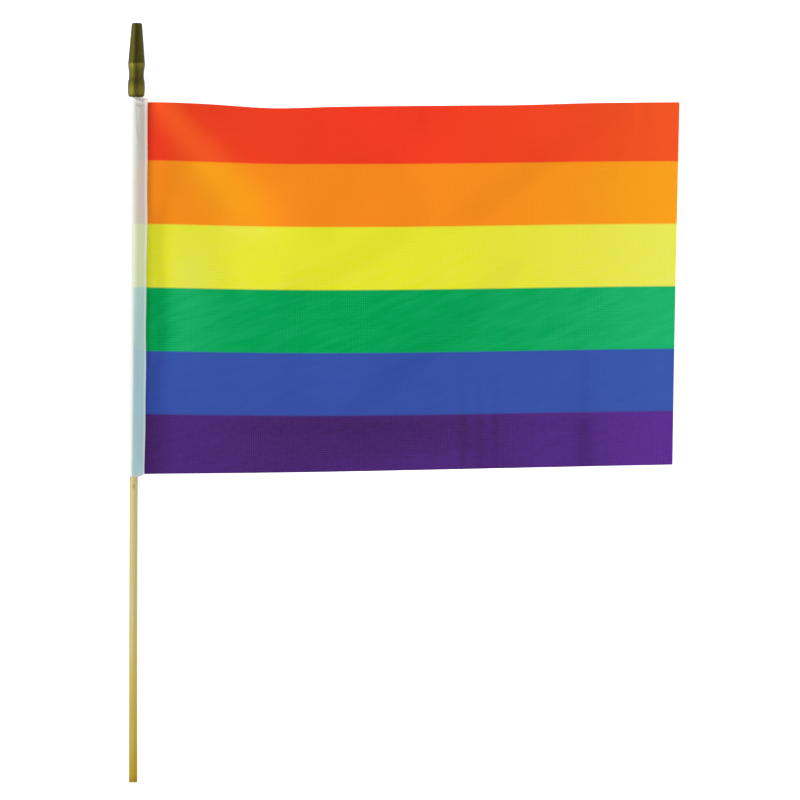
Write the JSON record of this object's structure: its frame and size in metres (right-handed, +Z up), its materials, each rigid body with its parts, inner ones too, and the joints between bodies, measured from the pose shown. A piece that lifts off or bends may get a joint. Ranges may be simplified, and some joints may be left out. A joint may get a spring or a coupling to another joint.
{
  "type": "cloth flag on a wooden stick",
  "caption": "Hand flag lying flat: a thin striped cloth with a white pocket strip along its hoist, carried on a slim round wooden stick with a turned conical tip.",
  "frame": {"origin": "middle of the footprint, on the surface that the flag lies on", "axes": "+Y along the stick towards its tip, +X from the hoist towards the fly, +Z up off the surface"},
  "size_m": [0.4588, 0.6316, 0.0142],
  "materials": {
    "printed_cloth": "light plain-woven polyester, dyed through in even horizontal stripes from red at the top to purple at the bottom",
    "white_cloth": "thin white plain-woven polyester, slightly sheer",
    "stick_wood": "bare pale sanded wood with a fine lengthwise grain",
    "tip_gold": "moulded, dark antique-gold coating with a soft gloss"
  },
  "bodies": {
    "root": {"cloth": "printed_cloth", "pocket_strip": "white_cloth", "stick": "stick_wood", "tip": "tip_gold"}
  },
  "joints": []
}
